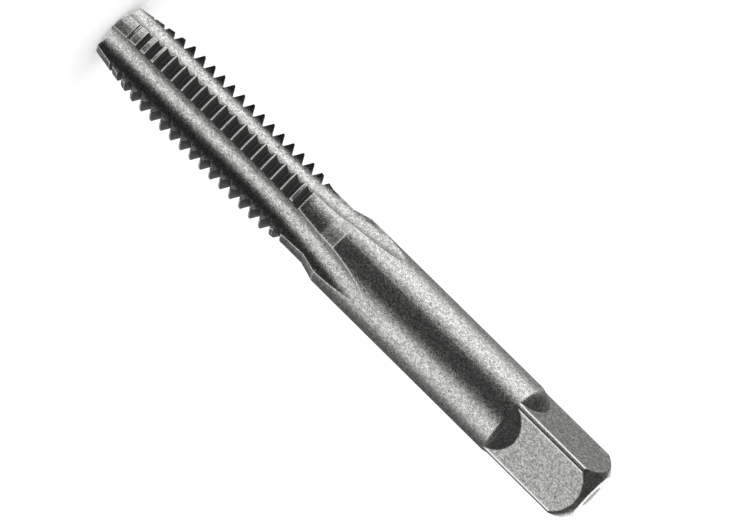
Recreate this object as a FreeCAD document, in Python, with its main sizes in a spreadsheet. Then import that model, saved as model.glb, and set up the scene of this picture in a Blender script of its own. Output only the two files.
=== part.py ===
import FreeCAD, Part
import math
import os
import Sketcher

# A four-flute hand tap for a right-hand 3/8-16 thread, standing on its point.
# Millimetres, +Z from the point towards the driving square, origin in the middle of the point's face.

SIZES = [
    # Lengths along the tap
    ("overall_length", 75.03),
    ("point_chamfer_length", 7.5),
    ("threaded_length", 30.43),
    ("thread_fade_length", 3.0),
    ("neck_length", 3.15),
    ("neck_cone_length", 2.25),
    ("flute_length", 42.08),
    ("square_length", 12.3),
    ("square_shoulder_length", 2.4),
    ("end_chamfer_length", 2.04),
    # Diameters and steps
    ("major_diameter", 9.5),
    ("point_diameter", 6.98),
    ("neck_depth", 0.58),
    ("shank_diameter", 9.62),
    ("end_face_diameter", 5.74),
    ("square_width", 7.15),
    # Thread form
    ("thread_pitch", 1.5875),
    ("thread_angle", 60.0),
    ("crest_flat", 0.14),
    ("root_flat", 0.24),
    ("thread_lead_in", 0.8),
    # Flutes
    ("core_diameter", 5.2),
    ("flute_floor_radius", 2.5),
    ("flute_side_angle", 20.0),
    ("flute_lean", 12.0),
    ("flute_wheel_radius", 80.0),
    # Square and lathe centres
    ("square_turn", -1.65),
    ("point_centre_diameter", 2.0),
    ("end_centre_diameter", 2.8),
    ("centre_angle", 60.0),
]

FLUTES = 4
SQUARE_SIDES = 4

# How far a cutting shape stands out past the metal, and how much further the wheel turns than it must
CUT_MARGIN = 1.0
WHEEL_OVERRUN = 1.2

# Cubic millimetres that the flutes and the thread must each take away
LEAST_CUT = 1.0


def make_sheet(doc):
    """The driving dimensions, one named cell each."""
    sheet = doc.addObject("Spreadsheet::Sheet", "sizes")
    for row, (name, value) in enumerate(SIZES, start=1):
        sheet.set(f"A{row}", name)
        sheet.set(f"B{row}", str(value))
        sheet.setAlias(f"B{row}", name)
    doc.recompute()
    return sheet


def origin_feature(body, role):
    """A plane or axis of the body's own origin."""
    for feature in body.Origin.OriginFeatures:
        if feature.Role == role:
            return feature
    raise RuntimeError(f"the body has no {role}")


def new_sketch(body, name, plane, height=None, turn=None):
    """A sketch on one of the body's planes, raised along and turned about the plane's normal."""
    sketch = body.newObject("Sketcher::SketchObject", name)
    sketch.AttachmentSupport = [(origin_feature(body, plane), "")]
    sketch.MapMode = "FlatFace"
    if height:
        sketch.setExpression(".AttachmentOffset.Base.z", height)
    if turn:
        sketch.AttachmentOffset = FreeCAD.Placement(
            FreeCAD.Vector(), FreeCAD.Rotation(FreeCAD.Vector(0, 0, 1), 1)
        )
        sketch.setExpression(".AttachmentOffset.Rotation.Angle", turn)
    return sketch


def bind(sketch, constraint, name, expression):
    """Add a named constraint and tie its value to the sheet."""
    index = sketch.addConstraint(constraint)
    sketch.renameConstraint(index, name)
    sketch.setExpression(f"Constraints.{name}", expression)


def dome_side(start, end):
    """An arc, counter-clockwise from start to end, whose middle lies on the sketch's upright axis."""
    middle_height = (end.Length ** 2 - start.Length ** 2) / (2 * (end.y - start.y))
    middle = FreeCAD.Vector(0, middle_height, 0)
    circle = Part.Circle(middle, FreeCAD.Vector(0, 0, 1), (start - middle).Length)
    from_angle = math.atan2(start.y - middle.y, start.x)
    to_angle = math.atan2(end.y - middle.y, end.x)
    return Part.ArcOfCircle(circle, from_angle, to_angle)


def closed_profile(sketch, corners, domed=None):
    """A closed outline, counter-clockwise. Each corner is (start x, start y, x expression, y expression),
    and a coordinate whose expression is None stays on the sketch's own axis. The sides are straight lines,
    but the one that leaves the corner numbered domed is an arc about a point of the upright axis."""
    count = len(corners)
    for index, corner in enumerate(corners):
        after = corners[(index + 1) % count]
        start = FreeCAD.Vector(corner[0], corner[1], 0)
        end = FreeCAD.Vector(after[0], after[1], 0)
        side = dome_side(start, end) if index == domed else Part.LineSegment(start, end)
        sketch.addGeometry(side, False)
    for index in range(count):
        sketch.addConstraint(Sketcher.Constraint("Coincident", index, 2, (index + 1) % count, 1))
    if domed is not None:
        sketch.addConstraint(Sketcher.Constraint("PointOnObject", domed, 3, -2))
    for index, (x, y, x_expression, y_expression) in enumerate(corners):
        if x_expression is None:
            sketch.addConstraint(Sketcher.Constraint("PointOnObject", index, 1, -2))
        else:
            constraint = Sketcher.Constraint("DistanceX", -1, 1, index, 1, x)
            bind(sketch, constraint, f"x_{index}", x_expression)
        if y_expression is None:
            sketch.addConstraint(Sketcher.Constraint("PointOnObject", index, 1, -1))
        else:
            constraint = Sketcher.Constraint("DistanceY", -1, 1, index, 1, y)
            bind(sketch, constraint, f"y_{index}", y_expression)


def around(body, feature, name, count):
    """Repeat a feature evenly about the tap's axis."""
    pattern = body.newObject("PartDesign::PolarPattern", name)
    pattern.Originals = [feature]
    pattern.Axis = (origin_feature(body, "Z_Axis"), [""])
    pattern.Angle = 360
    pattern.Occurrences = count
    body.Tip = pattern
    return pattern


def make_blank(body):
    """The turned blank: chamfered point, thread diameter, neck, shank and lathe centres."""
    sketch = new_sketch(body, "blank_outline", "XZ_Plane")
    neck_start = "sizes.threaded_length"
    cone_start = f"{neck_start} + sizes.neck_length"
    shank_start = f"{cone_start} + sizes.neck_cone_length"
    neck_radius = "sizes.major_diameter / 2 - sizes.neck_depth"
    top = "sizes.overall_length"
    centre_slope = "tan(sizes.centre_angle / 2)"
    closed_profile(sketch, [
        (0, 2, None, f"sizes.point_centre_diameter / 2 / {centre_slope}"),
        (1, 0, "sizes.point_centre_diameter / 2", None),
        (3, 0, "sizes.point_diameter / 2", None),
        (5, 8, "sizes.major_diameter / 2", "sizes.point_chamfer_length"),
        (5, 28, "sizes.major_diameter / 2", "sizes.threaded_length - sizes.thread_fade_length"),
        (4, 31, neck_radius, neck_start),
        (4, 34, neck_radius, cone_start),
        (5, 36, "sizes.shank_diameter / 2", shank_start),
        (5, 73, "sizes.shank_diameter / 2", f"{top} - sizes.end_chamfer_length"),
        (3, 75, "sizes.end_face_diameter / 2", top),
        (1.4, 75, "sizes.end_centre_diameter / 2", top),
        (0, 73, None, f"{top} - sizes.end_centre_diameter / 2 / {centre_slope}"),
    ], domed=8)
    blank = body.newObject("PartDesign::Revolution", "blank")
    blank.Profile = sketch
    blank.ReferenceAxis = (sketch, ["V_Axis"])
    blank.Angle = 360
    return blank


def cut_thread(body):
    """The right-hand thread groove. It starts below the point and ends inside a flute, at the neck."""
    sketch = new_sketch(body, "thread_groove", "XZ_Plane")
    half_root = "sizes.root_flat / 2"
    half_mouth = "(sizes.thread_pitch - sizes.crest_flat) / 2"
    depth = f"({half_mouth} - {half_root}) / tan(sizes.thread_angle / 2)"
    root_radius = f"sizes.major_diameter / 2 - {depth}"
    outside_radius = "sizes.major_diameter / 2 + sizes.crest_flat / 2"
    middle = "-sizes.thread_lead_in"
    closed_profile(sketch, [
        (3.6, -0.76, root_radius, f"{middle} - {half_root}"),
        (4.75, -1.43, "sizes.major_diameter / 2", f"{middle} - {half_mouth}"),
        (4.85, -1.43, outside_radius, f"{middle} - {half_mouth}"),
        (4.85, -0.04, outside_radius, f"{middle} + {half_mouth}"),
        (4.75, -0.04, "sizes.major_diameter / 2", f"{middle} + {half_mouth}"),
        (3.6, -0.71, root_radius, f"{middle} + {half_root}"),
    ])
    thread = body.newObject("PartDesign::SubtractiveHelix", "thread")
    thread.Profile = sketch
    thread.ReferenceAxis = (sketch, ["V_Axis"])
    thread.Mode = "pitch-turns-angle"
    thread.LeftHanded = False
    thread.setExpression("Pitch", "sizes.thread_pitch")
    last_turn = 0.5 + 0.5 / FLUTES
    thread.setExpression(
        "Turns",
        f"floor((sizes.threaded_length + sizes.thread_lead_in) / sizes.thread_pitch) + {last_turn}",
    )
    return thread


def cut_flutes(body):
    """Four flutes, each a straight channel that then rises along the grinding wheel's rim."""
    core_radius = "sizes.core_diameter / 2"
    wheel = "sizes.flute_wheel_radius"
    rise = f"(sizes.shank_diameter / 2 - {core_radius})"
    run_out = f"sqrt(2 * {wheel} * {rise} - {rise} ^ 2)"
    sketch = new_sketch(body, "flute_section", "XY_Plane", f"sizes.flute_length - {run_out}", f"180 / {FLUTES}")

    # The wheel's axle, square to the direction in which the wheel leaves the tap.
    # The points of this sketch start near their places, and its constraints put them there exactly.
    axle_middle = FreeCAD.Vector(81, 17, 0)
    axle_end = FreeCAD.Vector(80, 22, 0)
    axle_length = 5.0
    sketch.addGeometry(Part.LineSegment(axle_middle, axle_end), True)
    sketch.addGeometry(Part.LineSegment(FreeCAD.Vector(), axle_middle), True)
    sketch.addConstraint(Sketcher.Constraint("Coincident", 1, 1, -1, 1))
    sketch.addConstraint(Sketcher.Constraint("Coincident", 1, 2, 0, 1))
    sketch.addConstraint(Sketcher.Constraint("Perpendicular", 0, 1))
    axle = f"({wheel} + {core_radius})"
    constraint = Sketcher.Constraint("DistanceX", -1, 1, 1, 2, axle_middle.x)
    bind(sketch, constraint, "axle_x", f"{axle} * cos(sizes.flute_lean)")
    constraint = Sketcher.Constraint("DistanceY", -1, 1, 1, 2, axle_middle.y)
    bind(sketch, constraint, "axle_y", f"{axle} * sin(sizes.flute_lean)")
    sketch.addConstraint(Sketcher.Constraint("Distance", 0, axle_length))

    # The channel's floor and its two sides
    floor_middle = FreeCAD.Vector(5.1, 0, 0)
    floor_radius = 2.5
    half_floor = math.radians(70)
    opening = math.radians(320)
    floor_circle = Part.Circle(floor_middle, FreeCAD.Vector(0, 0, 1), floor_radius)
    sketch.addGeometry(Part.ArcOfCircle(floor_circle, math.pi - half_floor, math.pi + half_floor), False)
    upper = FreeCAD.Vector(4.24, 2.35, 0)
    lower = FreeCAD.Vector(4.24, -2.35, 0)
    upper_out = FreeCAD.Vector(5.8, 2.92, 0)
    lower_out = FreeCAD.Vector(5.8, -2.92, 0)
    sketch.addGeometry(Part.LineSegment(upper_out, upper), False)
    sketch.addGeometry(Part.LineSegment(lower, lower_out), False)
    sketch.addGeometry(Part.LineSegment(lower_out, upper_out), False)
    sketch.addConstraint(Sketcher.Constraint("PointOnObject", 2, 3, -1))
    sketch.addConstraint(Sketcher.Constraint("Tangent", 3, 2, 2, 1))
    sketch.addConstraint(Sketcher.Constraint("Tangent", 2, 2, 4, 1))
    sketch.addConstraint(Sketcher.Constraint("Coincident", 4, 2, 5, 1))
    sketch.addConstraint(Sketcher.Constraint("Coincident", 5, 2, 3, 1))
    sketch.addConstraint(Sketcher.Constraint("Symmetric", 3, 1, 4, 2, -1))
    constraint = Sketcher.Constraint("Radius", 2, floor_radius)
    bind(sketch, constraint, "floor_radius", "sizes.flute_floor_radius")
    constraint = Sketcher.Constraint("DistanceX", -1, 1, 2, 3, floor_middle.x)
    bind(sketch, constraint, "floor_middle", f"{core_radius} + sizes.flute_floor_radius")
    constraint = Sketcher.Constraint("Angle", 3, 2, 4, 1, opening)
    bind(sketch, constraint, "side_opening", "360 - 2 * sizes.flute_side_angle")
    constraint = Sketcher.Constraint("DistanceX", -1, 1, 5, 1, upper_out.x)
    bind(sketch, constraint, "outside", f"max(sizes.shank_diameter; sizes.major_diameter) / 2 + {CUT_MARGIN}")

    channel = body.newObject("PartDesign::Pocket", "flute_channel")
    channel.Profile = sketch
    channel.Type = "Length"
    channel.setExpression("Length", f"sizes.flute_length + {CUT_MARGIN}")
    around(body, channel, "flute_channels", FLUTES)
    run_out_cut = body.newObject("PartDesign::Groove", "flute_run_out")
    run_out_cut.Profile = sketch
    run_out_cut.ReferenceAxis = (sketch, ["Axis0"])
    run_out_cut.setExpression("Angle", f"{WHEEL_OVERRUN} * asin({run_out} / {wheel})")
    return around(body, run_out_cut, "flutes", FLUTES)


def cut_square(body):
    """The driving square: four flats, then the domed shoulder that carries them into the shank."""
    rim = "sizes.overall_length - sizes.square_length"
    sketch = new_sketch(body, "square_flat", "XY_Plane", rim, f"180 / {FLUTES} + sizes.square_turn")
    flat_distance = "sizes.square_width / 2"
    outside = f"sizes.shank_diameter / 2 + {CUT_MARGIN}"
    closed_profile(sketch, [
        (3.5, -5.8, flat_distance, f"-({outside})"),
        (5.8, -5.8, outside, f"-({outside})"),
        (5.8, 5.8, outside, outside),
        (3.5, 5.8, flat_distance, outside),
    ])
    flat = body.newObject("PartDesign::Pocket", "flat")
    flat.Profile = sketch
    flat.Type = "Length"
    flat.Reversed = True
    flat.setExpression("Length", f"sizes.square_length + {CUT_MARGIN}")
    around(body, flat, "flats", SQUARE_SIDES)

    # The dome's middle lies below the rim, as far from it as from the start of each flat
    outline = new_sketch(body, "shoulder_outline", "XZ_Plane")
    shank_radius = "(sizes.shank_diameter / 2)"
    length = "sizes.square_shoulder_length"
    drop = f"({shank_radius} ^ 2 - ({flat_distance}) ^ 2 - {length} ^ 2) / (2 * {length})"
    closed_profile(outline, [
        (0, 62.9, None, rim),
        (4.8, 62.9, shank_radius, rim),
        (0, 66.8, None, f"{rim} - {drop} + sqrt({shank_radius} ^ 2 + ({drop}) ^ 2)"),
    ], domed=1)
    shoulder = body.newObject("PartDesign::Revolution", "square_shoulder")
    shoulder.Profile = outline
    shoulder.ReferenceAxis = (outline, ["V_Axis"])
    shoulder.Angle = 360
    body.Tip = shoulder
    return shoulder


def check(doc, bodies):
    """Stop on any failed feature or bad solid."""
    for item in doc.Objects:
        if "Invalid" in item.State or "Error" in item.State:
            raise RuntimeError(f"{item.Label} failed: {item.State}")
    for body in bodies:
        shape = body.Shape
        if shape.isNull() or not shape.isValid() or len(shape.Solids) != 1:
            raise RuntimeError(f"{body.Label} is not one valid solid")


def check_cut(body, feature, volume_before):
    """Stop if a cut took away less than the smallest cut that counts."""
    if body.Shape.Volume > volume_before - LEAST_CUT:
        raise RuntimeError(f"{feature.Label} cut nothing")


def main():
    doc = FreeCAD.newDocument("thread_tap")
    make_sheet(doc)
    body = doc.addObject("PartDesign::Body", "thread_tap")
    body.Label = "thread_tap"
    make_blank(body)
    doc.recompute()
    for cut in (cut_flutes, cut_thread):
        volume_before = body.Shape.Volume
        feature = cut(body)
        doc.recompute()
        check_cut(body, feature, volume_before)
    cut_square(body)
    doc.recompute()
    check(doc, [body])
    os.makedirs("parts", exist_ok=True)
    body.Shape.exportStep(f"parts/{body.Label}.step")
    box = body.Shape.BoundBox
    print("volume", round(body.Shape.Volume, 2), "box", box, "faces", len(body.Shape.Faces))


main()
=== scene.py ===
from collections import namedtuple
from functools import reduce
import math

import bpy
from mathutils import Matrix, Vector

# A blasted steel thread tap, standing on its point. Metres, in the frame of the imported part.

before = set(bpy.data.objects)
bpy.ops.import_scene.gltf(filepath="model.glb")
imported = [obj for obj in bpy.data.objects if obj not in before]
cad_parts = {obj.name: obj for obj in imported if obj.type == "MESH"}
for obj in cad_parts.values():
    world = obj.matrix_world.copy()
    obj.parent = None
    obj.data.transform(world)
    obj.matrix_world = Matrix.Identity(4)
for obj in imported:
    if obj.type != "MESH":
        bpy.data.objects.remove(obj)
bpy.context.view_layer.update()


# The camera, with its picture's sizes in pixels, its film in millimetres and its angles in degrees

PHOTO_WIDTH = 736
PHOTO_HEIGHT = 532
CAMERA_TURN = 16.75
CAMERA_RISE = 10.4
CAMERA_DISTANCE = 0.555
FILM_WIDTH = 36
FOCAL_PIXELS = 5000
NEAREST = 0.01
FARTHEST = 20.0
AIM_HEIGHT = 0.03922
AIM_PIXEL = (363.0, 271.1)
AXIS_ON_PHOTO = (0.712, -0.702)


def unit(azimuth, elevation):
    """A direction, from its angle about +Z counted from +X and its angle above the ground, in degrees."""
    turn = math.radians(azimuth)
    rise = math.radians(elevation)
    return Vector((math.cos(turn) * math.cos(rise), math.sin(turn) * math.cos(rise), math.sin(rise)))


def make_camera():
    """The photograph's camera. The tap's +Z runs down to the right in its picture."""
    towards = unit(CAMERA_TURN, CAMERA_RISE)
    up = (Vector((0, 0, 1)) - towards * towards.z).normalized()
    right = up.cross(towards)

    # The picture is turned so that the tap's axis runs as it does in the photograph
    along_x, along_y = AXIS_ON_PHOTO
    picture_right = (up * along_x + right * along_y).normalized()
    picture_up = towards.cross(picture_right)

    # The aim stands a few pixels off the picture's middle
    aim_x, aim_y = AIM_PIXEL
    off_x = (aim_x - PHOTO_WIDTH / 2) / FOCAL_PIXELS * CAMERA_DISTANCE
    off_y = (PHOTO_HEIGHT / 2 - aim_y) / FOCAL_PIXELS * CAMERA_DISTANCE
    aim = Vector((0, 0, AIM_HEIGHT))
    place = aim + towards * CAMERA_DISTANCE - picture_right * off_x - picture_up * off_y

    data = bpy.data.cameras.new("camera")
    data.sensor_width = FILM_WIDTH
    data.lens = FILM_WIDTH * FOCAL_PIXELS / PHOTO_WIDTH
    data.clip_start = NEAREST
    data.clip_end = FARTHEST
    camera = bpy.data.objects.new("camera", data)
    bpy.context.scene.collection.objects.link(camera)
    turn = Matrix((picture_right, picture_up, towards)).transposed()
    camera.matrix_world = Matrix.Translation(place) @ turn.to_4x4()
    bpy.context.scene.camera = camera


make_camera()


# Shader nodes

def feed(tree, socket, value):
    """Gives an input a plain value, or links it to another node's output."""
    if isinstance(value, bpy.types.NodeSocket):
        tree.links.new(value, socket)
    else:
        socket.default_value = value


def node(tree, kind, **values):
    """A shader node with its settings and inputs, each a plain value or another node's output."""
    made = tree.nodes.new(kind)
    for name, value in values.items():
        if hasattr(made, name):
            setattr(made, name, value)
        else:
            feed(tree, made.inputs[name.replace("_", " ")], value)
    return made


def maths(tree, operation, *operands):
    """A maths node's result. Each operand is a number or another node's output."""
    made = node(tree, "ShaderNodeMath", operation=operation)
    for socket, operand in zip(made.inputs, operands):
        feed(tree, socket, operand)
    return made.outputs["Value"]


def product(tree, *values):
    """All the values multiplied together. Of masks, it is where all of them are."""
    return reduce(lambda first, second: maths(tree, "MULTIPLY", first, second), values)


def largest(tree, *values):
    """The largest of the values. Of masks, it is where any of them is."""
    return reduce(lambda first, second: maths(tree, "MAXIMUM", first, second), values)


def above(tree, value, limit):
    """A mask, 1 where a value is more than a limit and otherwise 0."""
    return maths(tree, "GREATER_THAN", value, limit)


def below(tree, value, limit):
    """A mask, 1 where a value is less than a limit and otherwise 0."""
    return maths(tree, "LESS_THAN", value, limit)


def share(tree, value, low, high):
    """Rises from 0 to 1 as a value passes from low to high. It falls where high is the smaller."""
    rise = node(
        tree,
        "ShaderNodeMapRange",
        interpolation_type="SMOOTHSTEP",
        Value=value,
        From_Min=low,
        From_Max=high,
    )
    return rise.outputs["Result"]


def blend(tree, amount, first, second, **settings):
    """The first value where the amount is 0 and the second where it is 1, mixed as the settings say."""
    mix = node(tree, "ShaderNodeMix", **settings)
    inputs = [socket for socket in mix.inputs if socket.enabled]
    for socket, value in zip(inputs, (amount, first, second)):
        feed(tree, socket, value)
    result = [socket for socket in mix.outputs if socket.enabled]
    return result[0]


def ramp(tree, value, stops):
    """A value passed through stops, each a place from 0 to 1 and the brightness there."""
    made = node(tree, "ShaderNodeValToRGB", Fac=value)
    colours = made.color_ramp
    while len(colours.elements) > 1:
        colours.elements.remove(colours.elements[-1])
    for index, (place, level) in enumerate(stops):
        stop = colours.elements[0] if index == 0 else colours.elements.new(place)
        stop.position = place
        stop.color = (level, level, level, 1)
    return made.outputs["Color"]


# The steel. Where a pair of numbers bounds a look, it starts at the first and is whole at the second

# Heights above the point: the lowest root with painted shade, a little past the thread's end, the rim
# where the neck's cone meets the shank, a little past the flutes' ends, and the square from its
# shoulders to its end chamfer
ROOT_START = 0.0026
THREAD_END = 0.0312
RIM_HEIGHT = 0.03583
FLUTE_END = 0.045
SQUARE_START = 0.06273
SQUARE_END = 0.07296

# Distances from the axis: painted shade on the thread's flanks, from the crests down, and at its roots,
# but not on the flutes' floors, the rim's painted highlight, the square's rounded corners, and the
# centre hole
FLANK_SHADE_RADII = (0.00475, 0.00466)
ROOT_SHADE_RADII = (0.00384, 0.00376)
FLUTE_FLOOR = (0.00360, 0.00366)
RIM_RADIUS = (0.0045, 0.0046)
CORNER_RADIUS = (0.00462, 0.00474)
CENTRE_RADIUS = 0.00142

# How far the rim's painted highlight reaches along the axis
RIM_WIDTH = (0.00012, 0.00004)

# How far a surface faces away from the axis where edges wear and get a painted highlight and roots get
# painted shade, how far a flank faces along the axis, and how far a flute's wall faces round it where
# its painted shade starts
WEAR_AND_HIGHLIGHT_OUTWARD = (0.6, 0.9)
ROOT_OUTWARD = (0.85, 0.95)
FLANK_SLOPE = (0.3, 0.5)
CUTTING_FACE = (0.3, 1.0)
BACK_EDGE = (-0.8, -1.0)

# Brightness of the blasted grain at stops of its noise, and what the flutes' walls with painted shade,
# the darker square, uneven places and pits painted dark keep of it. The mottle passes from its dark to
# its light shade over a range of its own noise
GRAIN_STOPS = [(0.34, 0.28), (0.5, 0.60), (0.66, 0.94)]
WALL_PAINTED_SHADE = 0.3
SQUARE_SHADE = 0.77
MOTTLE_RANGE = (0.36, 0.64)
MOTTLE_SHADES = (0.78, 1.20)
PIT_PAINTED_SHADE = 0.25

# Brightness of polished corners, of worn edges with a painted highlight, of places given painted light
# by making them scatter it, of grooves painted dark as shade, and the faint warm tint of all of it
CORNER_POLISHED = 0.90
POLISHED_AND_HIGHLIT = 0.97
WEAR_AND_PAINTED_LIGHT = 0.65
GROOVE_PAINTED_SHADE = 0.033
STEEL_TINT = (1.0, 1.002, 0.975, 1.0)

# How metallic the places given painted light stay (worn edges, the rim and the centre hole), and how
# much of it the rim and the flutes' worn edges get
PAINTED_SCATTER_METAL = 0.3
RIM_PAINTED_HIGHLIGHT = 0.6
FLUTE_EDGE_WEAR_AND_HIGHLIGHT = 0.7

# Roughness where the grain's noise is lowest and highest, on the square's corners, and of the grooves'
# painted shade
GRAIN_ROUGHNESS = (0.22, 0.34)
CORNER_ROUGHNESS = 0.12
GROOVE_SHADE_ROUGHNESS = 0.6

# Noises, in waves per metre, with their octaves, how strong the finer ones are, and how high the
# grain stands
GRAIN_SCALE = 6200.0
MOTTLE_SCALE = 2600.0
GRAIN_OCTAVES = 3.0
MOTTLE_OCTAVES = 2.0
GRAIN_FINENESS = 0.6
GRAIN_HEIGHT = 0.00002

# Pits, painted dark as their shade with no dent under them, darkest over the middle part of their radius
PIT_SPACING = 0.0018
PIT_RADIUS = 0.00016
PIT_FLOOR = 0.4

# Edges: the radii that they are rounded to, how far from an edge the wear and its painted highlight
# reach, and how much of the metal behind the surface is left within that reach where it starts and where
# it is whole
EDGE_RADIUS = 0.00026
THREAD_EDGE_RADIUS = 0.00012
EDGE_SAMPLES = 8
WEAR_AND_HIGHLIGHT_REACH = 0.00030
METAL_BEHIND = (0.92, 0.62)

# A place on the tap: where it is, its height above the point and its distance from the axis, and how
# far its surface faces away from the axis, round it and along it either way, each at most 1
SurfacePoint = namedtuple("SurfacePoint", "place height radius outward turned along")


def surface_point(tree):
    """The measures of the place that is being shaded, in the part's own frame."""
    given = node(tree, "ShaderNodeTexCoord").outputs
    place = node(tree, "ShaderNodeSeparateXYZ", Vector=given["Object"]).outputs
    facing = node(tree, "ShaderNodeSeparateXYZ", Vector=given["Normal"]).outputs

    squares = [product(tree, place[axis], place[axis]) for axis in "XY"]
    radius = maths(tree, "SQRT", maths(tree, "ADD", *squares))
    away = [product(tree, facing[axis], place[axis]) for axis in "XY"]
    outward = maths(tree, "DIVIDE", maths(tree, "ADD", *away), radius)
    round_axis = [product(tree, facing["X"], place["Y"]), product(tree, facing["Y"], place["X"])]
    turned = maths(tree, "DIVIDE", maths(tree, "SUBTRACT", *round_axis), radius)
    along = maths(tree, "ABSOLUTE", facing["Z"])
    return SurfacePoint(given["Object"], place["Z"], radius, outward, turned, along)


def blasted_colour(tree, at, grain, square):
    """The blasted steel's brightness: its fine grain, painted shade on the flutes' walls, a darker
    square, mottle and a few pits painted dark as shade.
    """
    colour = ramp(tree, grain, GRAIN_STOPS)

    # The flutes' cutting faces and the far edges of their backs are painted darker than their floors, as
    # shade
    walls = largest(tree, share(tree, at.turned, *CUTTING_FACE), share(tree, at.turned, *BACK_EDGE))
    walls = product(tree, walls, below(tree, at.height, FLUTE_END))

    mottle = node(tree, "ShaderNodeTexNoise", Vector=at.place, Scale=MOTTLE_SCALE, Detail=MOTTLE_OCTAVES)
    mottle = share(tree, mottle.outputs["Fac"], *MOTTLE_RANGE)

    # Painted shade: dark spots where pits would be in shade; the surface has no dents there
    pits = node(tree, "ShaderNodeTexVoronoi", Vector=at.place, Scale=1.0 / PIT_SPACING)
    reach = PIT_RADIUS / PIT_SPACING
    whole = share(tree, pits.outputs["Distance"], PIT_FLOOR * reach, reach)

    return product(
        tree,
        colour,
        blend(tree, walls, 1.0, WALL_PAINTED_SHADE),
        blend(tree, mottle, *MOTTLE_SHADES),
        blend(tree, square, 1.0, SQUARE_SHADE),
        blend(tree, whole, PIT_PAINTED_SHADE, 1.0),
    )


def edge_wear_and_highlight(tree, at):
    """Where edges that face away from the axis are worn bright and given a painted highlight, on all but
    the square.
    """
    behind = node(
        tree,
        "ShaderNodeAmbientOcclusion",
        samples=EDGE_SAMPLES,
        only_local=True,
        inside=True,
        Distance=WEAR_AND_HIGHLIGHT_REACH,
    )
    wear_and_highlight = share(tree, behind.outputs["AO"], *METAL_BEHIND)
    wear_and_highlight = product(tree, wear_and_highlight, share(tree, at.outward, *WEAR_AND_HIGHLIGHT_OUTWARD))
    return product(tree, wear_and_highlight, below(tree, at.height, SQUARE_START))


def scatter_wear_and_painted_light(tree, at, wear_and_highlight, threaded, square):
    """Where the steel is made to scatter light every way: painted highlights on worn edges and the neck's
    rim, and painted light in the centre hole.
    """
    edges = product(tree, wear_and_highlight, blend(tree, threaded, FLUTE_EDGE_WEAR_AND_HIGHLIGHT, 1.0))
    # Painted highlight: a bright line round the rim where the neck's cone meets the shank
    rim_highlight = maths(tree, "ABSOLUTE", maths(tree, "SUBTRACT", at.height, RIM_HEIGHT))
    rim_highlight = product(tree, share(tree, rim_highlight, *RIM_WIDTH), share(tree, at.radius, *RIM_RADIUS), RIM_PAINTED_HIGHLIGHT)
    # Painted light: the centre hole is made pale, so the shade inside it does not show
    centre_light = product(tree, square, below(tree, at.radius, CENTRE_RADIUS))
    return largest(tree, edges, rim_highlight, centre_light)


def thread_painted_shade(tree, at, threaded):
    """Where the thread's grooves are painted near black as their shade, on their flanks and roots."""
    flank = product(tree, share(tree, at.along, *FLANK_SLOPE), share(tree, at.radius, *FLANK_SHADE_RADII))
    root = product(tree, share(tree, at.radius, *ROOT_SHADE_RADII), share(tree, at.radius, *FLUTE_FLOOR))
    root = product(tree, root, share(tree, at.outward, *ROOT_OUTWARD), above(tree, at.height, ROOT_START))
    return product(tree, largest(tree, flank, root), threaded)


def steel_material(name):
    """Blasted steel: a mottled grain, pits, softened edges that are worn and given a painted highlight,
    and painted shade in the thread.
    """
    material = bpy.data.materials.new(name)
    material.use_nodes = True
    tree = material.node_tree

    at = surface_point(tree)
    threaded = below(tree, at.height, THREAD_END)
    square = above(tree, at.height, SQUARE_START)
    grain = node(
        tree,
        "ShaderNodeTexNoise",
        Vector=at.place,
        Scale=GRAIN_SCALE,
        Detail=GRAIN_OCTAVES,
        Roughness=GRAIN_FINENESS,
    ).outputs["Fac"]

    # The square's rounded corners are polished. The worn edges are brightened too, partly wear and partly
    # a painted highlight
    corner = product(tree, square, share(tree, at.radius, *CORNER_RADIUS))
    corner = product(tree, corner, below(tree, at.height, SQUARE_END))
    wear_and_highlight = edge_wear_and_highlight(tree, at)
    colour = blasted_colour(tree, at, grain, square)
    colour = blend(tree, corner, colour, CORNER_POLISHED)
    colour = blend(tree, wear_and_highlight, colour, POLISHED_AND_HIGHLIT)

    # The thread's crests are rounded too finely to see, so their highlight is painted: worn edges and the
    # rim scatter light every way as painted highlights, and the centre hole as painted light
    painted_scatter = scatter_wear_and_painted_light(tree, at, wear_and_highlight, threaded, square)
    colour = blend(tree, painted_scatter, colour, WEAR_AND_PAINTED_LIGHT)
    metal = blend(tree, painted_scatter, 1.0, PAINTED_SCATTER_METAL)

    # Painted shade: the thread's flanks and roots are painted near black and matt
    groove_shade = thread_painted_shade(tree, at, threaded)
    colour = blend(tree, groove_shade, colour, GROOVE_PAINTED_SHADE)
    colour = blend(tree, 1.0, colour, STEEL_TINT, data_type="RGBA", blend_type="MULTIPLY")
    metal = blend(tree, groove_shade, metal, 0.0)
    rough = blend(tree, grain, *GRAIN_ROUGHNESS)
    rough = blend(tree, corner, rough, CORNER_ROUGHNESS)
    rough = blend(tree, groove_shade, rough, GROOVE_SHADE_ROUGHNESS)

    edge_radius = blend(tree, threaded, EDGE_RADIUS, THREAD_EDGE_RADIUS)
    edges = node(tree, "ShaderNodeBevel", samples=EDGE_SAMPLES, Radius=edge_radius).outputs["Normal"]
    bump = node(tree, "ShaderNodeBump", Strength=1.0, Distance=GRAIN_HEIGHT, Height=grain, Normal=edges)

    shader = tree.nodes["Principled BSDF"]
    feed(tree, shader.inputs["Base Color"], colour)
    feed(tree, shader.inputs["Metallic"], metal)
    feed(tree, shader.inputs["Roughness"], rough)
    feed(tree, shader.inputs["Normal"], bump.outputs["Normal"])
    return material


steel = steel_material("blasted_steel")
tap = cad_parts["thread_tap"]
for slot in tap.material_slots:
    slot.material = steel


# The floor

FLOOR_HALF = 2.0
FLOOR_COLOUR = (0.98, 0.98, 0.98, 1)


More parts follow.
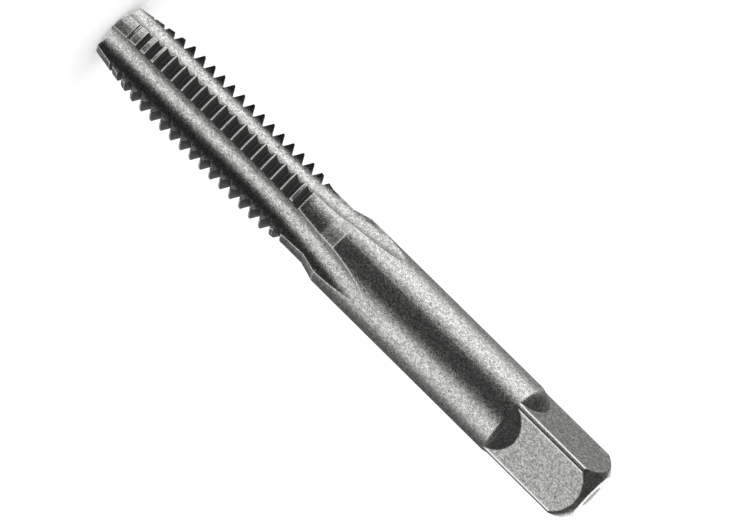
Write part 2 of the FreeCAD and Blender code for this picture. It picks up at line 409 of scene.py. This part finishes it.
def white_surface(name):
    """Matt white. It keeps the tap's shadow."""
    material = bpy.data.materials.new(name)
    material.use_nodes = True
    shader = material.node_tree.nodes["Principled BSDF"]
    shader.inputs["Base Color"].default_value = FLOOR_COLOUR
    shader.inputs["Roughness"].default_value = 1.0
    shader.inputs["Specular IOR Level"].default_value = 0.0
    return material


def make_floor():
    """A wide square floor under the point. Reflections see the studio in its place."""
    mesh = bpy.data.meshes.new("floor")
    half = FLOOR_HALF
    corners = [(-half, -half, 0), (half, -half, 0), (half, half, 0), (-half, half, 0)]
    mesh.from_pydata(corners, [], [(0, 1, 2, 3)])
    mesh.materials.append(white_surface("floor_white"))
    floor = bpy.data.objects.new("floor", mesh)
    bpy.context.scene.collection.objects.link(floor)
    floor.visible_glossy = False


make_floor()


# The studio round the tap

# How bright its plain white is, the most that a wall can be in a reflection, and a turn in degrees
STUDIO_WHITE = 1.2
BRIGHTEST = 4.0
FULL_TURN = 360

# The walls that reflections see, from the ground up. Each stop is an angle about +Z, in degrees, and
# the brightness there
LOW_WALLS = [
    (-180, 0.30),
    (-136, 0.40),
    (-110, 1.0),
    (-60, 1.45),
    (-44, 1.35),
    (-27, 0.66),
    (-18, 0.46),
    (-9, 0.25),
    (0, 0.14),
    (25, 0.10),
    (31, 0.35),
    (39, 0.95),
    (60, 1.20),
    (108, 1.10),
    (140, 0.35),
    (180, 0.30),
]
WALLS = [
    (-180, 0.22),
    (-152, 0.25),
    (-136, 0.38),
    (-112, 0.38),
    (-98, 0.72),
    (-84, 1.40),
    (-70, 1.62),
    (-46, 1.68),
    (-34, 1.10),
    (-22, 0.04),
    (42, 0.02),
    (56, 0.75),
    (66, 1.20),
    (76, 1.38),
    (88, 1.32),
    (102, 1.12),
    (114, 0.70),
    (130, 0.20),
    (160, 0.12),
    (180, 0.20),
]

# A bright panel stands behind the tap, where its end face reflects it
HIGH_WALLS = [
    (-180, 3.0),
    (-150, 3.0),
    (-144, 0.2),
    (-132, 0.15),
    (-98, 0.15),
    (-88, 0.05),
    (60, 0.03),
    (110, 0.03),
    (170, 0.05),
    (176, 1.6),
    (180, 3.0),
]

# The brightness below the walls, then each band of walls and the heights, as sines, over which it
# takes over from what is below it, and at last the brightness above them
GROUND = 2.0
WALL_BANDS = [
    (LOW_WALLS, (-0.90, -0.82)),
    (WALLS, (-0.44, -0.30)),
    (HIGH_WALLS, (0.08, 0.20)),
]
TOP = 0.04
TOP_HEIGHTS = (0.64, 0.76)


def studio_light(tree):
    """The brightness that reflections see in every direction."""
    direction = node(tree, "ShaderNodeTexCoord").outputs["Generated"]
    height = node(tree, "ShaderNodeSeparateXYZ", Vector=direction).outputs["Z"]
    turn = node(tree, "ShaderNodeTexGradient", gradient_type="RADIAL", Vector=direction).outputs["Fac"]
    light = GROUND
    for walls, heights in WALL_BANDS:
        # The turn is 0 at -180 degrees and 1 at 180
        stops = [(0.5 + angle / FULL_TURN, level / BRIGHTEST) for angle, level in walls]
        band = product(tree, ramp(tree, turn, stops), BRIGHTEST)
        light = blend(tree, share(tree, height, *heights), light, band)
    return blend(tree, share(tree, height, *TOP_HEIGHTS), light, TOP)


def make_world():
    """Plain white to all but reflections, which see the studio's bright and dark walls."""
    world = bpy.data.worlds.new("studio")
    bpy.context.scene.world = world
    world.use_nodes = True
    tree = world.node_tree
    white = tree.nodes["Background"]
    white.inputs["Color"].default_value = (1, 1, 1, 1)
    white.inputs["Strength"].default_value = STUDIO_WHITE
    seen = node(tree, "ShaderNodeBackground", Strength=studio_light(tree))
    glossy = node(tree, "ShaderNodeLightPath").outputs["Is Glossy Ray"]

    mix = node(tree, "ShaderNodeMixShader")
    choice = (glossy, white.outputs["Background"], seen.outputs["Background"])
    for socket, value in zip(mix.inputs, choice):
        feed(tree, socket, value)
    feed(tree, tree.nodes["World Output"].inputs["Surface"], mix.outputs["Shader"])


make_world()

bpy.context.scene.view_settings.view_transform = "Standard"
